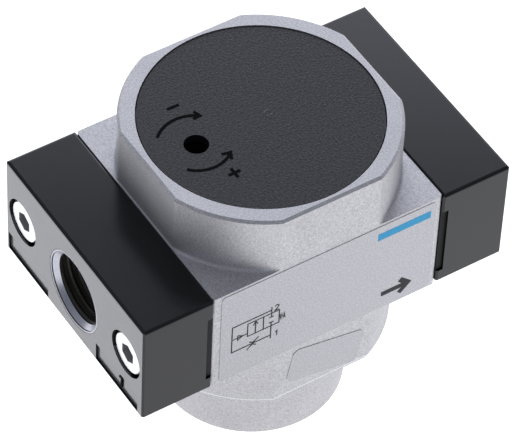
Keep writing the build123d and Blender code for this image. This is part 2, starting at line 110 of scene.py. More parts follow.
def finish_material(tree, shader):
    """Sends the shader to the output."""
    add(tree, "ShaderNodeOutputMaterial", {"Surface": shader.outputs["BSDF"]})


MIX_A, MIX_B, MIX_OUT = 6, 7, 2      # the colour sockets of a Mix node
print("node helper ready")

# %% [markdown]
# No real surface has one flat colour. Grit, pits, marks and clouds all come from the same
# small pattern: a noise at a real size that blends two close tones. A fine pattern needs
# contrast, because most of a noise is near its middle; a soft cloud does without.

# %% Speckle
SHARP = (0.3, 0.7)           # the noise values where the darker and the lighter tone are reached
SOFT = (0.0, 1.0)


def speckle(tree, place, size, dark, light, contrast=SHARP, **texture):
    """Noise in spots of about size metres: its height, its contrast and the tone, as sockets."""
    noise = add(tree, "ShaderNodeTexNoise", {"Vector": place, "Scale": 1 / size, **texture})
    spots = add(tree, "ShaderNodeMapRange", {
        "Value": noise.outputs["Fac"], "From Min": contrast[0], "From Max": contrast[1]})
    tone = add(tree, "ShaderNodeMix", {
        "Factor": spots.outputs["Result"], MIX_A: colour(dark), MIX_B: colour(light)}, data_type="RGBA")
    return noise.outputs["Fac"], spots.outputs["Result"], tone.outputs[MIX_OUT]


print("noise from", SHARP[0], "to", SHARP[1], "fills the contrast")

# %% [markdown]
# The block is pressure-die-cast aluminium that was blasted with fine grit. Blasting
# breaks the skin into tiny pits, so the metal mirrors only broad shapes, such as a white
# table or a black plate beside it, and it sparkles. A photo texture could show this, but
# two noises scale better: a grit of about a quarter of a millimetre for the sparkle and a
# broad one for the cloudy tone of a casting. The sharp lower edge of the block rubs smooth
# in handling, so a narrow band along it is smoother and mirrors the table; its brighter
# colour is a painted highlight.

# %% Blasted die-cast aluminium
GRIT = 0.26 * MM
GRIT_DEPTH = 0.03 * MM
CLOUD = 5.0 * MM
CAST_ROUGHNESS = 0.62
WORN_ROUGHNESS = 0.52
EDGE_BAND = 0.16 * MM
EDGE_BREAK = 0.3 * MM        # the broken edge itself, which faces down
EDGE_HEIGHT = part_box("housing")[0].z + EDGE_BREAK + EDGE_BAND / 2


def worn_edge_and_highlight(tree, place):
    """Mask that is 1 within half a band of the height of the lower edge."""
    height = add(tree, "ShaderNodeSeparateXYZ", {"Vector": place}).outputs["Z"]
    above = add(tree, "ShaderNodeMath", {0: height, 1: EDGE_HEIGHT}, operation="SUBTRACT")
    away = add(tree, "ShaderNodeMath", {0: above.outputs[0]}, operation="ABSOLUTE")
    within = add(tree, "ShaderNodeMath", {0: away.outputs[0], 1: EDGE_BAND / 2}, operation="LESS_THAN")
    return within.outputs[0]


def blasted_casting(name, dark, light):
    """Metal with a fine grit in colour and relief, a faint broad cloud and a smoother lower edge painted
    brighter as a highlight.
    """
    material, tree, place = start_material(name)
    grit, _, tone = speckle(tree, place, GRIT, dark, light, Detail=3.0, Roughness=0.65)
    _, _, veil = speckle(tree, place, CLOUD, "#f0f0f2", "#ffffff", SOFT, Detail=2.0)
    clouded = add(tree, "ShaderNodeMix", {
        "Factor": 1.0, MIX_A: tone, MIX_B: veil}, data_type="RGBA", blend_type="MULTIPLY")
    worn_and_highlight = worn_edge_and_highlight(tree, place)
    # the band along the lower edge is smoother, and its brighter colour is a painted highlight
    whole = add(tree, "ShaderNodeMix", {
        "Factor": worn_and_highlight, MIX_A: clouded.outputs[MIX_OUT], MIX_B: colour("#eeeef0")}, data_type="RGBA")
    rough = add(tree, "ShaderNodeMapRange", {
        "Value": worn_and_highlight, "To Min": CAST_ROUGHNESS, "To Max": WORN_ROUGHNESS})
    bump = add(tree, "ShaderNodeBump", {"Strength": 0.35, "Distance": GRIT_DEPTH, "Height": grit})
    shader = add(tree, "ShaderNodeBsdfPrincipled", {
        "Base Color": whole.outputs[MIX_OUT], "Metallic": 1.0, "Roughness": rough.outputs["Result"],
        "Normal": bump.outputs["Normal"]})
    finish_material(tree, shader)
    return material


cast_aluminium = blasted_casting("blasted die-cast aluminium", "#c0bfc0", "#e9e8e8")
cast_cap_aluminium = blasted_casting("blasted die-cast cap", "#bfbec0", "#e8e7e8")
print("grit", GRIT, "m, cloud", CLOUD, "m")

# %% [markdown]
# The plates are aluminium, milled, glass-bead blasted and anodised black. The dye sits in
# a glassy oxide skin, so the plate is nearly black where it mirrors a dark room and grey
# where it mirrors the pale table at a flat angle. The two port faces are painted a lighter,
# partly metallic grey as a painted reflection of that table, with faint marks of the mill
# along them. The finish tells those faces, with the floors of their shallow pockets, by two
# things: they face along X and they lie at the ends of the valve. The floors of the narrow
# grips beside the block face along Y and lie deeper than the front; they are duller.

# %% Where a plate gets its painted reflection and where it is dull
plate_low, plate_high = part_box("inlet_plate")
PLATE_FACE_X = -plate_low.x          # the outer face of either plate, from the middle
POCKET_DEPTH = 0.35 * MM
POCKET_MARGIN = 0.1 * MM             # so that the floors of the pockets count too
GRIP_MARGIN = 0.2 * MM               # half the depth of a grip: its floor counts, the front doesn't
PORT_FACE_X = PLATE_FACE_X - POCKET_DEPTH - POCKET_MARGIN
GRIP_FLOOR_Y = plate_high.y - GRIP_MARGIN
SQUARE_ON = 0.9                      # a normal with more than this along an axis faces along it


def plate_masks(tree, place):
    """Two masks: the port faces, by X and normal, and the floors of the grips, by Y and normal."""
    apart = add(tree, "ShaderNodeSeparateXYZ", {"Vector": place})
    outward = add(tree, "ShaderNodeTexCoord").outputs["Normal"]
    outward = add(tree, "ShaderNodeVectorMath", {0: outward}, operation="ABSOLUTE")
    outward = add(tree, "ShaderNodeSeparateXYZ", {"Vector": outward.outputs["Vector"]})
    reach = add(tree, "ShaderNodeMath", {0: apart.outputs["X"]}, operation="ABSOLUTE")
    end = add(tree, "ShaderNodeMath", {0: reach.outputs[0], 1: PORT_FACE_X}, operation="GREATER_THAN")
    endways = add(tree, "ShaderNodeMath", {0: outward.outputs["X"], 1: SQUARE_ON}, operation="GREATER_THAN")
    port_face = add(tree, "ShaderNodeMath", {0: end.outputs[0], 1: endways.outputs[0]}, operation="MULTIPLY")
    aside = add(tree, "ShaderNodeMath", {0: apart.outputs["Y"]}, operation="ABSOLUTE")
    deep = add(tree, "ShaderNodeMath", {0: aside.outputs[0], 1: GRIP_FLOOR_Y}, operation="LESS_THAN")
    front = add(tree, "ShaderNodeMath", {0: outward.outputs["Y"], 1: SQUARE_ON}, operation="GREATER_THAN")
    grip_floor = add(tree, "ShaderNodeMath", {0: deep.outputs[0], 1: front.outputs[0]}, operation="MULTIPLY")
    return port_face.outputs[0], grip_floor.outputs[0]


print("port faces beyond x =", round(PORT_FACE_X, 5), "and grip floors within y =", round(GRIP_FLOOR_Y, 5))

# %% [markdown]
# The skin's own pits are too fine to see and only soften what it mirrors. The marks of the
# mill are about sixteen times as long as wide, so their noise is stretched along Y.

# %% Black anodised aluminium
SKIN_PITS = 0.12 * MM
SKIN_PIT_DEPTH = 0.01 * MM
SKIN_CLOUD = 3.0 * MM
SKIN_IOR = 1.45
SKIN_SPREAD = (-0.05, 0.07)          # roughness from pit to pit, round the mean
GRIP_DULLNESS = 0.5
MILL_MARK = 0.25 * MM
MILL_STRETCH = 0.06
# tones of the port faces: mill marks, lightened as a painted reflection of the pale table
MILL_MARKS_AND_PAINTED_REFLECTION = ("#868685", "#9d9c9a")


def anodised(name, dark, light, roughness, port_metallic):
    """Black skin, cloudy and finely pitted; the port faces get a lighter grey with mill marks, metallic by
    the last argument, as a painted reflection.
    """
    material, tree, place = start_material(name)
    pits = add(tree, "ShaderNodeTexNoise", {"Vector": place, "Scale": 1 / SKIN_PITS, "Detail": 2.0})
    _, _, tone = speckle(tree, place, SKIN_CLOUD, dark, light, SOFT, Detail=3.0)
    along = add(tree, "ShaderNodeMapping", {"Vector": place, "Scale": (1.0, MILL_STRETCH, 1.0)})
    _, _, grey = speckle(tree, along.outputs["Vector"], MILL_MARK, *MILL_MARKS_AND_PAINTED_REFLECTION, SOFT, Detail=3.0)
    port_face, grip_floor = plate_masks(tree, place)
    # the port faces take the lighter grey and some metal: a painted reflection of the table at a flat angle
    whole = add(tree, "ShaderNodeMix", {
        "Factor": port_face, MIX_A: tone, MIX_B: grey}, data_type="RGBA")
    metal = add(tree, "ShaderNodeMath", {0: port_face, 1: port_metallic}, operation="MULTIPLY")
    smoothest, roughest = (roughness + part for part in SKIN_SPREAD)
    rough = add(tree, "ShaderNodeMapRange", {
        "Value": pits.outputs["Fac"], "To Min": smoothest, "To Max": roughest})
    rough = add(tree, "ShaderNodeMath", {
        0: grip_floor, 1: GRIP_DULLNESS, 2: rough.outputs["Result"]}, operation="MULTIPLY_ADD")
    bump = add(tree, "ShaderNodeBump", {
        "Strength": 0.12, "Distance": SKIN_PIT_DEPTH, "Height": pits.outputs["Fac"]})
    shader = add(tree, "ShaderNodeBsdfPrincipled", {
        "Base Color": whole.outputs[MIX_OUT], "Metallic": metal.outputs[0], "IOR": SKIN_IOR,
        "Roughness": rough.outputs[0], "Normal": bump.outputs["Normal"]})
    finish_material(tree, shader)
    return material


black_anodised = anodised("black anodised aluminium", "#060607", "#0c0c0d", roughness=0.18, port_metallic=0.4)
# the thread's tones are painted light: far lighter than black anodising, for the light that reaches into the
# bore
thread_anodised_painted_light = anodised("black anodised thread with painted light", "#3c3a33", "#57544a", roughness=0.4, port_metallic=0.0)
print("mill marks", MILL_MARK, "m wide")

# %% [markdown]
# The top cover is moulded in a black plastic from a spark-eroded mould, which leaves an
# even grain of about a tenth of a millimetre. It is drawn a little coarser than that, so
# that it still shows from half a metre away. The tops of the grain are rubbed glossy.

# %% Moulded black plastic
MOULD_GRAIN = 0.34 * MM
MOULD_GRAIN_DEPTH = 0.06 * MM
MOULD_CONTRAST = (0.3, 0.72)
HOLLOW_ROUGHNESS = 0.62
TOP_ROUGHNESS = 0.36


def moulded_plastic(name, dark, light):
    """Dull plastic whose grain shows in colour, gloss and relief."""
    material, tree, place = start_material(name)
    grain, spots, tone = speckle(tree, place, MOULD_GRAIN, dark, light, MOULD_CONTRAST,
                                 Detail=2.0, Roughness=0.6)
    gloss = add(tree, "ShaderNodeMapRange", {
        "Value": spots, "To Min": HOLLOW_ROUGHNESS, "To Max": TOP_ROUGHNESS})
    bump = add(tree, "ShaderNodeBump", {"Strength": 0.8, "Distance": MOULD_GRAIN_DEPTH, "Height": grain})
    shader = add(tree, "ShaderNodeBsdfPrincipled", {
        "Base Color": tone, "Roughness": gloss.outputs["Result"], "IOR": 1.5,
        "Normal": bump.outputs["Normal"]})
    finish_material(tree, shader)
    return material


cover_plastic = moulded_plastic("spark-eroded black ABS", "#060607", "#232327")
print("cover grain", MOULD_GRAIN, "m")

# %% [markdown]
# Small parts get plainer graphs: turned and plated metals need a colour, a roughness and
# fine marks; rubber is nearly black and dull; ink is flat but a little uneven. The blue ink
# is clear, so the foil below shines through it like a coloured metal.

# %% Metals, rubber and ink
MARK_DEPTH = 0.01 * MM
METAL = dict(metallic=1.0, relief=0.1)


def plain_finish(name, dark, light, roughness, mark, metallic=0.0, relief=0.0, ior=1.5):
    """Two close tones in marks of about mark metres, with some relief."""
    material, tree, place = start_material(name)
    marks, _, tone = speckle(tree, place, mark, dark, light, Detail=3.0)
    bump = add(tree, "ShaderNodeBump", {"Strength": relief, "Distance": MARK_DEPTH, "Height": marks})
    shader = add(tree, "ShaderNodeBsdfPrincipled", {
        "Base Color": tone, "Metallic": metallic, "Roughness": roughness, "IOR": ior,
        "Normal": bump.outputs["Normal"]})
    finish_material(tree, shader)
    return material


machined_aluminium = plain_finish("machined aluminium", "#a9aab2", "#c4c5cc", 0.3, 0.15 * MM, **METAL)
stainless = plain_finish("turned stainless steel", "#a2a4a8", "#b6b8bc", 0.25, 0.2 * MM, **METAL)
spring_steel = plain_finish("drawn spring steel", "#6e7074", "#84868a", 0.35, 0.2 * MM, **METAL)
black_steel = plain_finish("blackened steel", "#141415", "#1c1c1d", 0.45, 0.2 * MM, **METAL)
turned_brass = plain_finish("turned brass", "#b8934e", "#c9a660", 0.3, 0.2 * MM, **METAL)
nitrile = plain_finish("moulded nitrile rubber", "#161617", "#1d1d1e", 0.6, 0.4 * MM, relief=0.1)
black_ink = plain_finish("screen-printed black ink", "#1c1c1f", "#29292c", 0.6, 0.3 * MM)
blue_ink = plain_finish("clear blue ink over foil", "#2d8fbb", "#45a2ca", 0.45, 0.3 * MM, metallic=0.8)
scuffed_plastic = plain_finish("scuffed gate mark", "#505054", "#707074", 0.5, 0.2 * MM)
# the moulded signs and raised port numbers are drawn as black strokes: painted shade of their grooves and
# edges
sign_painted_shade = plain_finish("matt black painted shade of a moulded sign", "#060607", "#0b0b0c", 0.9, 0.3 * MM, ior=1.25)
print(len(bpy.data.materials), "materials so far")

# %% [markdown]
# The plate screws are zinc plated and nearly white. Their hexagon sockets are drawn a dull
# grey that shows no metal: painted shade of the recess. Its place is known from the screws'
# box: a socket is everything close to a screw's axis and below its head.

# %% Bright zinc with painted shade in the sockets
ZINC_MARK = 0.3 * MM
SCREW_HEAD_R = 3.5 * MM
SOCKET_R = 1.76 * MM
screws_low, screws_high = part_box("inlet_plate_screws")
SCREW_Y = screws_high.y - SCREW_HEAD_R
SCREW_Z = (screws_low.z + screws_high.z) / 2
HEAD_MARGIN = 0.05 * MM
HEAD_FACE_X = -screws_low.x - HEAD_MARGIN


def socket_shade_mask(tree, place):
    """Mask that is 1 near the axis of a plate screw and below the face of its head."""
    apart = add(tree, "ShaderNodeSeparateXYZ", {"Vector": place})
    reach = add(tree, "ShaderNodeMath", {0: apart.outputs["X"]}, operation="ABSOLUTE")
    aside = add(tree, "ShaderNodeMath", {0: apart.outputs["Y"]}, operation="ABSOLUTE")
    section = add(tree, "ShaderNodeCombineXYZ", {"Y": aside.outputs[0], "Z": apart.outputs["Z"]})
    radius = add(tree, "ShaderNodeVectorMath", {
        0: section.outputs["Vector"], 1: (0.0, SCREW_Y, SCREW_Z)}, operation="DISTANCE")
    near = add(tree, "ShaderNodeMath", {0: radius.outputs["Value"], 1: SOCKET_R}, operation="LESS_THAN")
    below = add(tree, "ShaderNodeMath", {0: reach.outputs[0], 1: HEAD_FACE_X}, operation="LESS_THAN")
    in_shaded_socket = add(tree, "ShaderNodeMath", {0: near.outputs[0], 1: below.outputs[0]}, operation="MULTIPLY")
    return in_shaded_socket.outputs[0]


def zinc_plate(name, dark, light, socket_shade):
    """Bright plated metal, with painted shade: dull grey and no metal within the sockets of the plate screws.
    """
    material, tree, place = start_material(name)
    _, _, tone = speckle(tree, place, ZINC_MARK, dark, light, SOFT, Detail=3.0)
    in_shaded_socket = socket_shade_mask(tree, place)
    # the sockets get a dull grey and no metal: painted shade of the recess
    whole = add(tree, "ShaderNodeMix", {
        "Factor": in_shaded_socket, MIX_A: tone, MIX_B: colour(socket_shade)}, data_type="RGBA")
    unshaded = add(tree, "ShaderNodeMath", {0: 1.0, 1: in_shaded_socket}, operation="SUBTRACT")
    shader = add(tree, "ShaderNodeBsdfPrincipled", {
        "Base Color": whole.outputs[MIX_OUT], "Metallic": unshaded.outputs[0], "Roughness": 0.3})
    finish_material(tree, shader)
    return material


# the socket colour is painted shade
bright_zinc = zinc_plate("bright zinc plate", "#e6e8ec", "#f8f9fb", socket_shade="#b3b2b0")
print("sockets round y = +-", round(SCREW_Y, 5), "z =", round(SCREW_Z, 5))

# %% [markdown]
# The labels are silver polyester foil. It is smoother than the casting, but the grit
# below it still shows through, so it uses a weak copy of the same grain.

# %% Silver foil
FOIL_RELIEF = 0.02 * MM


def silver_foil(name, dark, light):
    """Printed foil: the casting's grit, weaker."""
    material, tree, place = start_material(name)
    grit, _, tone = speckle(tree, place, GRIT, dark, light, Detail=2.0)
    bump = add(tree, "ShaderNodeBump", {"Strength": 0.12, "Distance": FOIL_RELIEF, "Height": grit})
    shader = add(tree, "ShaderNodeBsdfPrincipled", {
        "Base Color": tone, "Metallic": 1.0, "Roughness": 0.45, "Normal": bump.outputs["Normal"]})
    finish_material(tree, shader)
    return material


foil = silver_foil("silver polyester foil", "#a7a7aa", "#c4c4c7")
print("foil relief", FOIL_RELIEF, "m")

# %% [markdown]
# Each solid keeps its shape and only gets its finish. The table says which material
# belongs to which piece; what it does not name is a rubber seal.

# %% Dress the solids
DRESS = {
    "housing": cast_aluminium,
    "bottom_cap": cast_cap_aluminium,
    "inlet_plate": black_anodised,
    "outlet_plate": black_anodised,
    "inlet_plate_screws": bright_zinc,
    "outlet_plate_screws": bright_zinc,
    "top_cover": cover_plastic,
    "front_label": foil,
    "number_label": foil,
    "chamber_lid": machined_aluminium,
    "piston": machined_aluminium,
    "piston_nut": bright_zinc,
    "valve_stem": stainless,
    "guide_bush": turned_brass,
    "poppet": turned_brass,
    "throttle_screw": black_steel,
    "retaining_ring": spring_steel,
    "return_spring": spring_steel,
}
for node_name, solid in frame["nodes"].items():
    solid.data.materials.clear()
    solid.data.materials.append(DRESS.get(node_name, nitrile))
print(len(frame["nodes"]), "solids dressed")

# %% [markdown]
# New pieces are surfaces over a grid of two parameters. The whole grid is computed as
# one array, and neighbouring points are joined by quads.


# %% Surface over a grid
def grid_quads(rows, columns, wrap_rows, wrap_columns):
    """Quads that join each grid point to its neighbours, wrapping where asked."""
    i, j = np.meshgrid(np.arange(rows if wrap_rows else rows - 1),
                       np.arange(columns if wrap_columns else columns - 1), indexing="ij")
    next_i, next_j = (i + 1) % rows, (j + 1) % columns
    corners = (i * columns + j, next_i * columns + j, next_i * columns + next_j, i * columns + next_j)
    return np.stack(corners, axis=-1).reshape(-1, 4)


def make_piece(name, points, faces, materials, smooth=True):
    """A mesh object at the origin from points in metres."""
    mesh = bpy.data.meshes.new(name)
    mesh.from_pydata(points.reshape(-1, 3).tolist(), [], [list(map(int, face)) for face in faces])
    for material in materials:
        mesh.materials.append(material)
    mesh.polygons.foreach_set("use_smooth", [smooth] * len(mesh.polygons))
    mesh.update()
    piece = bpy.data.objects.new(name, mesh)
    bpy.context.scene.collection.objects.link(piece)
    return piece


print("a grid of 3 by 4 points has", len(grid_quads(3, 4, False, False)), "quads")

# %% [markdown]
# Each port has a pipe thread with a 55 degree profile and rounded crests. A tap leaves a
# helical groove. The mouth is turned after anodising, which bares the metal of a narrow
# flat lip and a cone; the short step between them keeps the darker thread finish as
# painted shade. Seen as a hole, the radius at each depth is that of the turned mouth down
# to the end of the cone. Below it starts the thread, whose height is a rounded saw that
# shifts by one pitch per turn and grows to its full depth.

# %% Port threads
THREAD_PITCH = 1.337 * MM
THREAD_CREST_R = 5.72 * MM
THREAD_ROOT_R = 6.48 * MM
THREAD_SHELL_R = 6.56 * MM
THREAD_END = 9.4 * MM
THREAD_SEGMENTS = 96
THREAD_STEPS = 150
THREAD_RUN_IN = 0.6 * MM
FLANK_TOP, FLANK_SLOPE = 1.15, 2.6     # tooth height is top - slope * distance in pitches, cut to 0..1
SHELL_START = 0.27 * MM        # the outer skin starts where the broken edge of the bore ends
MOUTH_DEPTHS = np.array([0.02, 0.05, 0.24, 1.0]) * MM
MOUTH_RADII = np.array([6.8, 6.46, 6.42, THREAD_CREST_R / MM]) * MM
mounts = {mount["name"]: mount for mount in frame["record"]["mounts"]}
PORT_Z = mounts["inlet_port"]["pos_m"][2]


def port_thread(name, side):
    """Threaded lining of one port, side -1 at the inlet and +1 at the outlet.

    radius(angle, depth) = mouth(depth) + growth(depth) * tooth height * groove(depth/pitch + turn).
    """
    depth = np.union1d(np.linspace(MOUTH_DEPTHS[0], THREAD_END, THREAD_STEPS), MOUTH_DEPTHS)[:, None]
    angle = np.linspace(0, 2 * np.pi, THREAD_SEGMENTS, endpoint=False)[None, :]
    phase = (depth / THREAD_PITCH + angle / (2 * np.pi)) % 1.0
    groove = np.clip(FLANK_TOP - FLANK_SLOPE * np.abs(phase - 0.5), 0.0, 1.0)
    groove = groove * groove * (3 - 2 * groove)
    growth = np.clip((depth - MOUTH_DEPTHS[-1]) / THREAD_RUN_IN, 0.0, 1.0)
    mouth = np.interp(depth, MOUTH_DEPTHS, MOUTH_RADII)
    inner = mouth + growth * (THREAD_ROOT_R - THREAD_CREST_R) * groove
    skin = np.full((2, THREAD_SEGMENTS), THREAD_SHELL_R)
    radius = np.concatenate([inner, skin])
    depths = np.concatenate([depth, [[THREAD_END], [SHELL_START]]])
    x = side * (PLATE_FACE_X - depths) + 0 * angle
    points = np.stack([x, -side * radius * np.cos(angle), PORT_Z + radius * np.sin(angle)], axis=-1)
    faces = grid_quads(len(depths), THREAD_SEGMENTS, True, True)
    piece = make_piece(name, points, faces, [thread_anodised_painted_light, machined_aluminium])
    middle = (depth[:-1] + depth[1:]) / 2
    # the step keeps the darker thread finish: painted shade under the lip
    step = (middle > MOUTH_DEPTHS[1]) & (middle < MOUTH_DEPTHS[2])
    bare = (middle < MOUTH_DEPTHS[-1]) & ~step
    bare = np.concatenate([bare, np.zeros((3, 1), bool)]) & np.ones((1, THREAD_SEGMENTS), bool)
    piece.data.polygons.foreach_set("material_index", bare.astype(np.int32).ravel())
    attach(piece, "valve_block")
    return piece


inlet_thread = port_thread("inlet_port_thread", -1)
outlet_thread = port_thread("outlet_port_thread", 1)
print("thread faces", len(inlet_thread.data.polygons), "and", len(outlet_thread.data.polygons))

# %% [markdown]
# The return spring is wound from round steel wire and both its ends are ground flat. It
# stands in the bottom cap and carries the poppet, so it shortens when the valve opens. A
# stiff solid can't do that. The coil is therefore drawn here, at the size of the solid.

# %% Return spring
SPRING_WIRE_R = 0.65 * MM
SPRING_TURNS = 5.5
SPRING_STEPS = 36            # points along each turn
SPRING_SIDES = 12            # points round the wire
spring_low, spring_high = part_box("return_spring")


def coil_spring(name, low, high):
    """Round wire along a helix, cut flat at both ends.

    middle(t) = (R cos a, R sin a, z) with a = 2 pi turns t and z rising evenly with t; each
    ring of the wire is middle + r cos(b) outward + r sin(b) across the path.
    """
    mean_radius = high.x - SPRING_WIRE_R
    t = np.linspace(0, 1, int(SPRING_TURNS * SPRING_STEPS) + 1)[:, None]
    angle = 2 * np.pi * SPRING_TURNS * t
    rise = high.z - low.z - 2 * SPRING_WIRE_R
    slope = math.atan2(rise / SPRING_TURNS, 2 * np.pi * mean_radius)
    b = np.linspace(0, 2 * np.pi, SPRING_SIDES, endpoint=False)[None, :]
    outward = mean_radius + SPRING_WIRE_R * np.cos(b)
    across = SPRING_WIRE_R * np.sin(b)
    x = outward * np.cos(angle) + across * math.sin(slope) * np.sin(angle)
    y = outward * np.sin(angle) - across * math.sin(slope) * np.cos(angle)
    z = low.z + SPRING_WIRE_R + rise * t + across * math.cos(slope)
    points = np.stack([x, y, np.clip(z, low.z, high.z)], axis=-1)
    faces = grid_quads(len(t), SPRING_SIDES, False, True).tolist()
    last = (len(t) - 1) * SPRING_SIDES
    faces += [list(range(SPRING_SIDES)), list(range(last + SPRING_SIDES - 1, last - 1, -1))]
    return make_piece(name, points, faces, [spring_steel])


spring = coil_spring("return_spring_coil", spring_low, spring_high)
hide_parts("return_spring")
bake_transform(spring)
print("spring", round((spring_high.z - spring_low.z) / MM, 2), "mm long")

# %% [markdown]
# Signs and print are strokes on a flat face: a small rectangle carried along a path. At
# each corner the two sides are mitred, so the stroke keeps its width.

# %% Strokes on a face
MITRE_LIMIT = 0.4            # a sharper corner is drawn no longer than this allows


def stroke(path, width, height):
    """Ribbon along path, an array of flat points, as a grid of 4 corners per point.

    Each point moves aside by half the width over the cosine of half the turn there.
    """
    path = np.asarray(path, float)
    along = np.diff(path, axis=0)
    along /= np.linalg.norm(along, axis=1, keepdims=True)
    before = np.vstack([along[:1], along])
    after = np.vstack([along, along[-1:]])
    middle = before + after
    middle /= np.linalg.norm(middle, axis=1, keepdims=True)
    side = np.stack([-middle[:, 1], middle[:, 0]], axis=1)
    stretch = 1.0 / np.maximum(MITRE_LIMIT, (middle * after).sum(axis=1))
    half = side * (width / 2 * stretch)[:, None]
    left, right = path + half, path - half
    low, high = np.zeros((len(path), 1)), np.full((len(path), 1), height)
    corners = [(right, low), (right, high), (left, high), (left, low)]
    return np.stack([np.hstack(corner) for corner in corners], axis=1)


def arc(centre, radius, start, end, count=24):
    """Points of an arc, its angles in degrees: centre + radius (cos, sin)."""
    turn = np.radians(np.linspace(start, end, count))
    return np.stack([centre[0] + radius * np.cos(turn), centre[1] + radius * np.sin(turn)], axis=1)


def lay_strokes(name, strokes, material, origin, across, up, slot):
    """One piece of all the strokes: point = origin + x across + y up + height outward."""
    across, up, origin = np.asarray(across, float), np.asarray(up, float), np.asarray(origin, float)
    out = np.cross(across, up)
    points, faces, count = [], [], 0
    for grid in strokes:
        flat = grid.reshape(-1, 3)
        points.append(origin + flat[:, :1] * across + flat[:, 1:2] * up + flat[:, 2:] * out)
        faces += (grid_quads(len(grid), 4, False, True) + count).tolist()
        faces.append([count, count + 1, count + 2, count + 3])
        count += len(flat)
        faces.append([count - 1, count - 2, count - 3, count - 4])
    piece = make_piece(name, np.concatenate(points), faces, [material], smooth=False)
    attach(piece, "valve_block")
    return piece


print("a bar of two points has", stroke([(0, 0), (1, 0)], 0.1, 0.1).size // 3, "corners")

# %% [markdown]
# Round the adjuster hole two moulded arrows say which way is slow and which is quick. A
# plain minus and plus stand for the two. The lower arrow turns the screw out.

# %% Signs on the cover
COVER_FACE = dict(origin=(0, 0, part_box("top_cover")[1].z), across=(1, 0, 0), up=(0, 1, 0), slot="cover")
HOLE = (-11.2 * MM, 0.0)
SIGN_W = 0.48 * MM
SIGN_H = 0.04 * MM
OVERLAP = 0.006 * MM         # a stroke that crosses another lies this much higher
SLOW_R, SLOW_FROM, SLOW_TO, SLOW_HEADING, SLOW_BARB = 5.8 * MM, 136, 53, -34, 1.2 * MM
QUICK_R, QUICK_FROM, QUICK_TO, QUICK_HEADING, QUICK_BARB = 5.2 * MM, -137, -48, 26, 1.4 * MM
BARB_SPREAD = 38             # degrees from the shaft to each barb
MINUS = (-10.2 * MM, 8.1 * MM)
PLUS = (-9.4 * MM, -7.6 * MM)
SIGN_HALF = 1.0 * MM


def arrow_head(tip, heading, barb):
    """Two barbs behind the tip as one bent stroke. heading is in degrees."""
    ends = [math.radians(heading + 180 + turn) for turn in (BARB_SPREAD, -BARB_SPREAD)]
    legs = [(tip[0] + barb * math.cos(a), tip[1] + barb * math.sin(a)) for a in ends]
    return [legs[0], tip, legs[1]]


slow_arc = arc(HOLE, SLOW_R, SLOW_FROM, SLOW_TO)
quick_arc = arc(HOLE, QUICK_R, QUICK_FROM, QUICK_TO)
bars = [[(x - SIGN_HALF, y), (x + SIGN_HALF, y)] for x, y in (MINUS, PLUS)]
upright_bar = [(PLUS[0], PLUS[1] - SIGN_HALF), (PLUS[0], PLUS[1] + SIGN_HALF)]
heads = [arrow_head(slow_arc[-1], SLOW_HEADING, SLOW_BARB),
         arrow_head(quick_arc[-1], QUICK_HEADING, QUICK_BARB)]
sign_strokes = [stroke(path, SIGN_W, SIGN_H) for path in (slow_arc, quick_arc)]
sign_strokes += [stroke(path, SIGN_W, SIGN_H + OVERLAP) for path in heads]
sign_strokes += [stroke(path, SIGN_W, SIGN_H) for path in bars]
sign_strokes.append(stroke(upright_bar, SIGN_W, SIGN_H + OVERLAP))
# the black of the moulded signs is painted shade of their grooves
cover_signs = lay_strokes("cover_signs", sign_strokes, sign_painted_shade, **COVER_FACE)
print("cover signs", len(cover_signs.data.polygons), "faces")

# %% [markdown]
# Near the middle of the cover is the small scar of the gate, where the plastic entered the
# mould. It is a torn ring, so two short arcs are enough.

# %% Gate mark
GATE = (1.2 * MM, 0.0)
GATE_R = 0.55 * MM
GATE_W = 0.2 * MM
GATE_ARCS = ((20, 160), (215, 325))
gate_strokes = [stroke(arc(GATE, GATE_R, start, end, 9), GATE_W, SIGN_H) for start, end in GATE_ARCS]
gate_mark = lay_strokes("gate_mark", gate_strokes, scuffed_plastic, **COVER_FACE)
print("gate mark", len(gate_mark.data.polygons), "faces")

# %% [markdown]
# The front label carries a flow arrow and a circuit sign. The sign is drawn from the
# common rules for such drawings: two boxes for the two positions, an arrow in the open
# one, a spring at one end, a pilot line at the other and a throttle in the by-pass. Its
# points are in millimetres on the face, X to the right and Z up.

# %% Parts of the circuit sign
BOX_X, BOX_Z, BOX_W, BOX_H = -13.9, 33.8, 2.75, 2.8
BOX_TOP = BOX_Z + BOX_H
OPEN_X, SHUT_X = BOX_X + 0.5 * BOX_W, BOX_X + 1.5 * BOX_W
PORT_LOW, PORT_HIGH = 30.9, 38.0             # the ends of the lines to the two ports
PILOT_X, PILOT_LOW, PILOT_MID, PILOT_HIGH = -16.6, 31.7, 34.5, 37.3
PILOT_TRIANGLE_X, PILOT_TIP_X, PILOT_HALF = -15.6, -14.7, 0.5
BAR_HALF, BAR_IN = 0.4, 0.8                  # a shut port ends in a bar, this far inside the box
TIP_IN, TIP_LENGTH = 0.1, 0.8                # the flow arrow ends this close to the box's edge
THROTTLE_X, THROTTLE_NEAR, THROTTLE_FAR, THROTTLE_SLASH = -12.9, 0.2, 0.6, 1.0
SPRING_X, SPRING_TOP, SPRING_LOW = BOX_X + 2 * BOX_W, BOX_Z + 1.7, BOX_Z + 0.5
ZIGZAG_STEP, ZIGZAG_POINTS = 0.13, 8
DIGIT_H, DIGIT_W = 1.1, 0.65
SHOULDER = 0.72              # share of a digit's height where the flag starts and the bow has its middle
ONE_UPRIGHT = 0.45           # share of a digit's width where the upright of a one stands
BOW_FROM, BOW_TO, BOW_POINTS = 160, -45, 12
PORT_ONE_AT, PORT_TWO_AT = (-8.95, 31.0), (-9.2, 36.9)


def mm_path(*pairs):
    """Path in metres from points in millimetres."""
    return [(x * MM, z * MM) for x, z in pairs]


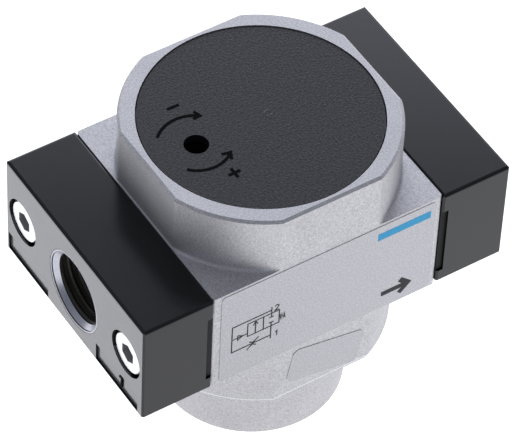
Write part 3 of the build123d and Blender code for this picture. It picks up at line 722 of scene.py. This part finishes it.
def box_path(x, z, width, height):
    """Rectangle from its lower left corner, closed."""
    return mm_path((x, z), (x + width, z), (x + width, z + height), (x, z + height), (x, z))


def shut_port(start, end):
    """Line of a port that is shut, and the bar across its end."""
    return [mm_path((SHUT_X, start), (SHUT_X, end)),
            mm_path((SHUT_X - BAR_HALF, end), (SHUT_X + BAR_HALF, end))]


def throttle_wing(side):
    """Bent line above (1) or below (-1) the by-pass, its bend towards the line."""
    near, far = PILOT_LOW + side * THROTTLE_NEAR, PILOT_LOW + side * THROTTLE_FAR
    return mm_path((THROTTLE_X - THROTTLE_FAR, far), (THROTTLE_X, near), (THROTTLE_X + THROTTLE_FAR, far))


def digit_one(x, z, scale=1.0):
    """Figure one from its lower left corner: a short flag and an upright."""
    h, w = DIGIT_H * scale, DIGIT_W * scale
    return mm_path((x, z + h * SHOULDER), (x + w * ONE_UPRIGHT, z + h), (x + w * ONE_UPRIGHT, z))


def digit_two(x, z, scale=1.0):
    """Figure two from its lower left corner: an elliptic bow, a slope and a foot."""
    h, w = DIGIT_H * scale, DIGIT_W * scale
    bow = [(x + w * (1 + math.cos(t)) / 2, z + h * (SHOULDER + (1 - SHOULDER) * math.sin(t)))
           for t in np.radians(np.linspace(BOW_FROM, BOW_TO, BOW_POINTS))]
    return mm_path(*bow, (x, z), (x + w, z))


print("boxes", BOX_W, "by", BOX_H, "mm")

# %% [markdown]
# The parts are put together and printed. Lines that cross lie on three slightly different
# heights, so that no two faces fall together. The bar above the flow arrow is blue.

# %% Print on the front label
LABEL_FACE = dict(origin=(0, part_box("front_label")[0].y, 0), across=(1, 0, 0), up=(0, 0, 1),
                  slot="label_foil")
INK_H = 0.015 * MM
LINE_W = 0.2 * MM
FLOW_W = 0.95 * MM
FLOW_TAIL, FLOW_TIP = (10.0, 29.1), (14.85, 29.1)
FLOW_HEAD = ((13.3, 30.6), FLOW_TIP, (13.3, 27.6))
STRIPE = ((8.6, 42.6), (18.0, 42.6))
STRIPE_W = 1.5 * MM
circuit = [
    box_path(BOX_X, BOX_Z, BOX_W, BOX_H), box_path(BOX_X + BOX_W, BOX_Z, BOX_W, BOX_H),
    mm_path((OPEN_X, BOX_Z), (OPEN_X, BOX_TOP)),
    mm_path((OPEN_X - BAR_HALF, BOX_TOP - TIP_IN - TIP_LENGTH), (OPEN_X, BOX_TOP - TIP_IN),
            (OPEN_X + BAR_HALF, BOX_TOP - TIP_IN - TIP_LENGTH)),
    *shut_port(PORT_LOW, BOX_Z + BAR_IN),
    *shut_port(PORT_HIGH, BOX_TOP - BAR_IN),
    mm_path((SHUT_X, PILOT_HIGH), (PILOT_X, PILOT_HIGH), (PILOT_X, PILOT_LOW), (SHUT_X, PILOT_LOW)),
    mm_path((PILOT_X, PILOT_MID), (BOX_X, PILOT_MID)),
    mm_path((PILOT_TRIANGLE_X, PILOT_MID + PILOT_HALF), (PILOT_TIP_X, PILOT_MID),
            (PILOT_TRIANGLE_X, PILOT_MID - PILOT_HALF), (PILOT_TRIANGLE_X, PILOT_MID + PILOT_HALF)),
    throttle_wing(1), throttle_wing(-1),
    mm_path((THROTTLE_X - THROTTLE_SLASH, PILOT_LOW - THROTTLE_SLASH),
            (THROTTLE_X + THROTTLE_SLASH, PILOT_LOW + THROTTLE_SLASH)),
    mm_path(*[(SPRING_X + ZIGZAG_STEP * i, SPRING_TOP if i % 2 else SPRING_LOW)
              for i in range(1, ZIGZAG_POINTS + 1)]),
    digit_one(*PORT_ONE_AT), digit_two(*PORT_TWO_AT),
]
print_strokes = [stroke(mm_path(FLOW_TAIL, FLOW_TIP), FLOW_W, INK_H),
                 stroke(mm_path(*FLOW_HEAD), FLOW_W, INK_H + OVERLAP)]
print_strokes += [stroke(path, LINE_W, INK_H + i % 3 * OVERLAP) for i, path in enumerate(circuit)]
label_print = lay_strokes("label_print", print_strokes, black_ink, **LABEL_FACE)
stripe = [stroke(mm_path(*STRIPE), STRIPE_W, INK_H)]
label_stripe = lay_strokes("label_stripe", stripe, blue_ink, **LABEL_FACE)
print("label print", len(label_print.data.polygons), "faces, stripe", len(label_stripe.data.polygons))

# %% [markdown]
# The plates carry a port number in the pocket below the front screw, and nothing else.
# The strokes stand a little proud of the pocket's floor and are painted black as painted
# shade of the raised figures. Each number starts at its left, as seen by somebody who
# looks at that end of the valve.

# %% Port numbers
INLET_NUMBER_Y, OUTLET_NUMBER_Y, NUMBER_Z = -12.9 * MM, -14.3 * MM, 27.25 * MM
NUMBER_SCALE = 2.05          # how much larger than the digits on the label
NUMBER_W = 0.42 * MM
NUMBER_H = 0.2 * MM
numbers = (("inlet_number", -1, digit_one, INLET_NUMBER_Y), ("outlet_number", 1, digit_two, OUTLET_NUMBER_Y))
for name, side, digit, left in numbers:
    path = stroke(digit(0, 0, NUMBER_SCALE), NUMBER_W, NUMBER_H)
    start = (side * (PLATE_FACE_X - POCKET_DEPTH), left, NUMBER_Z)
    lay_strokes(name, [path], sign_painted_shade, origin=start, across=(0, side, 0), up=(0, 0, 1), slot="plate")
print("numbers stand at z =", NUMBER_Z)

# %% [markdown]
# The photograph was taken from above, about 35 degrees round from the front, with a long
# lens. A camera is placed by where it looks, how far away it is and how it leans.

# %% Camera
CAMERA_TURN = math.radians(-34.6)
CAMERA_RISE = math.radians(48.06)
CAMERA_DISTANCE = 0.604
CAMERA_LEAN = math.radians(2.90)
CAMERA_TARGET = Vector((0.00007, -0.00005, 0.0333))
CAMERA_LENS = 280.85
SENSOR_WIDTH = 36.0
FAR_CLIP = 20.0

towards = Vector((math.sin(CAMERA_TURN), -math.cos(CAMERA_TURN), 0))
back = towards * math.cos(CAMERA_RISE) + Vector((0, 0, math.sin(CAMERA_RISE)))
sideways = Vector((0, 0, 1)).cross(back).normalized()
upright = back.cross(sideways)
right = sideways * math.cos(CAMERA_LEAN) + upright * math.sin(CAMERA_LEAN)
camera_data = bpy.data.cameras.new("camera")
camera_data.lens = CAMERA_LENS
camera_data.sensor_width = SENSOR_WIDTH
camera_data.clip_end = FAR_CLIP
camera = bpy.data.objects.new("camera", camera_data)
axes = Matrix((right, back.cross(right), back)).transposed().to_4x4()
camera.matrix_world = Matrix.Translation(CAMERA_TARGET + back * CAMERA_DISTANCE) @ axes
bpy.context.scene.collection.objects.link(camera)
bpy.context.scene.camera = camera
print("camera at", tuple(round(v, 4) for v in camera.location))

# %% [markdown]
# The valve stands on a white table. The floor shows white to the camera and to glossy
# metal but still takes the shadow.

# %% Floor
FLOOR_HALF = 3.0
FLOOR_Z = -0.2 * MM
FLOOR_LIFT = 0.92


def pale_floor():
    """A white table of 6 m, just below the base; camera and gloss see it lifted to white."""
    corners = [(x * FLOOR_HALF, y * FLOOR_HALF, FLOOR_Z) for x, y in ((-1, -1), (1, -1), (1, 1), (-1, 1))]
    mesh = bpy.data.meshes.new("floor")
    mesh.from_pydata(corners, [], [(0, 1, 2, 3)])
    floor = bpy.data.objects.new("floor", mesh)
    bpy.context.scene.collection.objects.link(floor)
    material, tree, _ = start_material("white paper floor")
    rays = add(tree, "ShaderNodeLightPath")
    seen = add(tree, "ShaderNodeMath", {
        0: rays.outputs["Is Camera Ray"], 1: rays.outputs["Is Glossy Ray"]}, operation="MAXIMUM")
    seen = add(tree, "ShaderNodeMath", {
        0: seen.outputs[0], 1: rays.outputs["Is Transmission Ray"]}, operation="MAXIMUM")
    lift = add(tree, "ShaderNodeMath", {0: seen.outputs[0], 1: FLOOR_LIFT}, operation="MULTIPLY")
    shader = add(tree, "ShaderNodeBsdfPrincipled", {
        "Base Color": colour("#f0f0f0"), "Roughness": 0.9, "Emission Color": colour("#ffffff"),
        "Emission Strength": lift.outputs[0]})
    finish_material(tree, shader)
    mesh.materials.append(material)


pale_floor()
print("floor lifted by", FLOOR_LIFT)

# %% [markdown]
# In a studio the lamp stands behind the product, while the side of the camera stays dim.
# That gives black edges their crisp dark lines and keeps the top of a plate black where it
# mirrors the cap. The softbox stands low: its upper edge is just where the flat tops mirror
# it, so they darken a little towards the front.

# %% Lamp
LAMP_COLOUR = "#f1f4ff"
LAMP_PLACE = Vector((0.5, 0.8, 0.48))
LAMP_TARGET = Vector((0, 0, 0.03))
LAMP_SIZE = 0.8
LAMP_POWER = 4.8


def soft_lamp(name):
    """Square lamp at its place, facing its target."""
    data = bpy.data.lights.new(name, "AREA")
    data.shape = "SQUARE"
    data.size = LAMP_SIZE
    data.energy = LAMP_POWER
    data.color = colour(LAMP_COLOUR)[:3]
    lamp = bpy.data.objects.new(name, data)
    lamp.location = LAMP_PLACE
    lamp.rotation_euler = (LAMP_TARGET - LAMP_PLACE).to_track_quat("-Z", "Y").to_euler()
    bpy.context.scene.collection.objects.link(lamp)


soft_lamp("back softbox")
print("softbox at", tuple(round(v, 2) for v in LAMP_PLACE))

# %% [markdown]
# The world stands for the room. Its brightness follows the direction: dim on the side of
# the camera, brighter behind the valve in a broad band, and dimmer again straight above.

# %% Room
FRONT_LIGHT = 0.3
BACK_LIGHT = 0.4
CEILING_LIGHT = 0.44
BACKWARD = (0.6, 0.8, 0.0)
BEHIND = (-0.5, 0.2)         # share of the direction that points backward, from front to back light
BRIGHT_FROM = (0.25, 0.5)    # sine of the height above the horizon where the bright part sets in
BRIGHT_TO = (0.72, 0.84)     # and where it ends
ZENITH_SHARE = 0.5           # what is left of it straight above
SKY_COLOUR = "#e9eeff"
world = bpy.data.worlds.new("white studio")
bpy.context.scene.world = world
world.use_nodes = True
sky = world.node_tree
sky.nodes.clear()
heading = add(sky, "ShaderNodeTexCoord").outputs["Generated"]
height = add(sky, "ShaderNodeSeparateXYZ", {"Vector": heading}).outputs["Z"]
rise = add(sky, "ShaderNodeMapRange", {
    "Value": height, "From Min": BRIGHT_FROM[0], "From Max": BRIGHT_FROM[1]}, interpolation_type="SMOOTHSTEP")
fall = add(sky, "ShaderNodeMapRange", {
    "Value": height, "From Min": BRIGHT_TO[0], "From Max": BRIGHT_TO[1],
    "To Min": 1.0, "To Max": ZENITH_SHARE}, interpolation_type="SMOOTHSTEP")
band = add(sky, "ShaderNodeMath", {
    0: rise.outputs["Result"], 1: fall.outputs["Result"]}, operation="MULTIPLY")
facing = add(sky, "ShaderNodeVectorMath", {0: heading, 1: BACKWARD}, operation="DOT_PRODUCT")
behind = add(sky, "ShaderNodeMapRange", {
    "Value": facing.outputs["Value"], "From Min": BEHIND[0], "From Max": BEHIND[1]},
    interpolation_type="SMOOTHSTEP")
bright = add(sky, "ShaderNodeMath", {
    0: band.outputs[0], 1: behind.outputs["Result"]}, operation="MULTIPLY")
walls = add(sky, "ShaderNodeMapRange", {
    "Value": behind.outputs["Result"], "To Min": FRONT_LIGHT, "To Max": BACK_LIGHT})
room = add(sky, "ShaderNodeMix", {
    "Factor": bright.outputs[0], 2: walls.outputs["Result"], 3: CEILING_LIGHT})
rays = add(sky, "ShaderNodeLightPath")
direct = add(sky, "ShaderNodeMath", {
    0: rays.outputs["Is Camera Ray"], 1: rays.outputs["Is Transmission Ray"]}, operation="MAXIMUM")
strength = add(sky, "ShaderNodeMix", {"Factor": direct.outputs[0], 2: room.outputs[0], 3: 1.0})
tint = add(sky, "ShaderNodeMix", {
    "Factor": direct.outputs[0], MIX_A: colour(SKY_COLOUR), MIX_B: colour("#ffffff")}, data_type="RGBA")
light = add(sky, "ShaderNodeBackground", {"Color": tint.outputs[MIX_OUT], "Strength": strength.outputs[0]})
add(sky, "ShaderNodeOutputWorld", {"Surface": light.outputs["Background"]})
bpy.context.scene.view_settings.view_transform = "Standard"
print("room light", FRONT_LIGHT, "in front,", BACK_LIGHT, "behind,", CEILING_LIGHT, "above")
